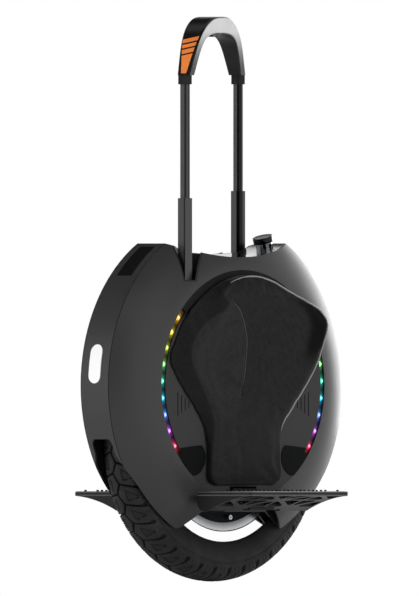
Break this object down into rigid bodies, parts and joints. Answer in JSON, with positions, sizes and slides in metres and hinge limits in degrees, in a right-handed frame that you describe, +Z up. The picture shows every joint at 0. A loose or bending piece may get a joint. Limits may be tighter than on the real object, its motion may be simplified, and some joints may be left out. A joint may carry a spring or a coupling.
{
  "type": "electric unicycle",
  "caption": "Self-balancing electric unicycle: domed drum body round a hub-motor wheel, folding pedals, knee pads, lamps and a telescopic trolley handle.",
  "frame": {"origin": "the tyre's contact point with the ground, straight below the axle", "axes": "+X the riding direction, +Y the rider's left along the axle, +Z up"},
  "size_m": [0.511, 0.384, 0.869],
  "materials": {
    "shell_plastic": "satin moulded ABS",
    "gloss_plastic": "polished",
    "panel_plastic": "fine texture",
    "grille_plastic": "fine texture",
    "pad_fabric": "moulded foam with a textured skin",
    "tyre": "moulded",
    "tube_rubber": "smooth",
    "rim_aluminium": "polished",
    "cover_aluminium": "dark anodised with a machined edge",
    "steel": "bright",
    "stator_iron": "laminated and wound",
    "frame_metal": "black powder coat",
    "post_metal": "dark anodised",
    "grip_plastic": "satin",
    "inlay_orange": "satin",
    "pedal_metal": "black anodised casting",
    "stud_steel": "dark",
    "lens_white": "diffusing lens",
    "lens_red": "diffusing lens",
    "reflector": "bright",
    "led": "clear domed beads in many colours",
    "button_metal": "turned",
    "battery_case": "wrapped cells"
  },
  "bodies": {
    "chassis": {"axle": "steel", "stator": "stator_iron", "axle_nuts": "steel", "left_shell": "shell_plastic", "right_shell": "shell_plastic", "saddle_top": "gloss_plastic", "front_band": "shell_plastic", "rear_band": "shell_plastic", "left_frame_plate": "frame_metal", "right_frame_plate": "frame_metal", "wheel_arch": "shell_plastic", "left_side_panel": "panel_plastic", "right_side_panel": "panel_plastic", "left_light_channel": "gloss_plastic", "right_light_channel": "gloss_plastic", "left_leds": "led", "right_leds": "led", "left_pad": "pad_fabric", "right_pad": "pad_fabric", "speakers": "grille_plastic", "speaker_grilles": "grille_plastic", "headlight_lens": "lens_white", "tail_light_lens": "lens_red", "lamp_reflectors": "reflector", "front_window": "gloss_plastic", "rear_window": "gloss_plastic", "power_button_base": "grip_plastic", "charge_port": "grip_plastic", "battery_packs": "battery_case", "control_box": "battery_case", "front_pocket": "shell_plastic", "rear_pocket": "shell_plastic", "front_tube_guide": "post_metal", "rear_tube_guide": "post_metal", "left_hanger": "frame_metal", "right_hanger": "frame_metal", "hinge_pins": "steel"},
    "wheel": {"tyre": "tyre", "inner_tube": "tube_rubber", "rim": "rim_aluminium", "magnets": "steel", "left_motor_cover": "cover_aluminium", "right_motor_cover": "cover_aluminium", "bearings": "steel", "cover_bolts": "steel", "valve_stem": "steel"},
    "handle": {"grip": "grip_plastic", "grip_inlays": "inlay_orange", "front_inner_post": "post_metal", "rear_inner_post": "post_metal", "collars": "grip_plastic"},
    "release_button": {"release_button": "grip_plastic"},
    "front_sleeve": {"front_sleeve": "post_metal"},
    "rear_sleeve": {"rear_sleeve": "post_metal"},
    "left_pedal": {"left_pedal": "pedal_metal", "left_pedal_studs": "stud_steel"},
    "right_pedal": {"right_pedal": "pedal_metal", "right_pedal_studs": "stud_steel"},
    "power_button": {"power_button": "button_metal"}
  },
  "joints": [
    {"name": "wheel_spin", "type": "hinge", "parent": "chassis", "child": "wheel", "pos_m": [0, 0, 0.2165], "axis": [0, 1, 0], "continuous": true},
    {"name": "left_pedal_fold", "type": "hinge", "parent": "chassis", "child": "left_pedal", "pos_m": [0, 0.092, 0.122], "axis": [1, 0, 0], "range_deg": [0, 65]},
    {"name": "right_pedal_fold", "type": "hinge", "parent": "chassis", "child": "right_pedal", "pos_m": [0, -0.092, 0.122], "axis": [-1, 0, 0], "range_deg": [0, 65]},
    {"name": "handle_slide", "type": "slide", "parent": "chassis", "child": "handle", "axis": [0, 0, 1], "range_m": [-0.2985, 0]},
    {"name": "front_sleeve_slide", "type": "slide", "parent": "chassis", "child": "front_sleeve", "axis": [0, 0, 1], "range_m": [-0.1241, 0]},
    {"name": "rear_sleeve_slide", "type": "slide", "parent": "chassis", "child": "rear_sleeve", "axis": [0, 0, 1], "range_m": [-0.1351, 0]},
    {"name": "release_button_press", "type": "slide", "parent": "handle", "child": "release_button", "axis": [0, 0, 1], "range_m": [0, 0.003], "stiffness_N_per_m": 300, "springref_m": -0.002},
    {"name": "power_button_press", "type": "slide", "parent": "chassis", "child": "power_button", "axis": [-0.2786, 0, -0.9604], "range_m": [0, 0.003], "stiffness_N_per_m": 500, "springref_m": -0.002}
  ],
  "couplings": [
    {"joint": "front_sleeve_slide", "follows": "handle_slide", "ratio": 0.41541},
    {"joint": "rear_sleeve_slide", "follows": "handle_slide", "ratio": 0.45226}
  ]
}
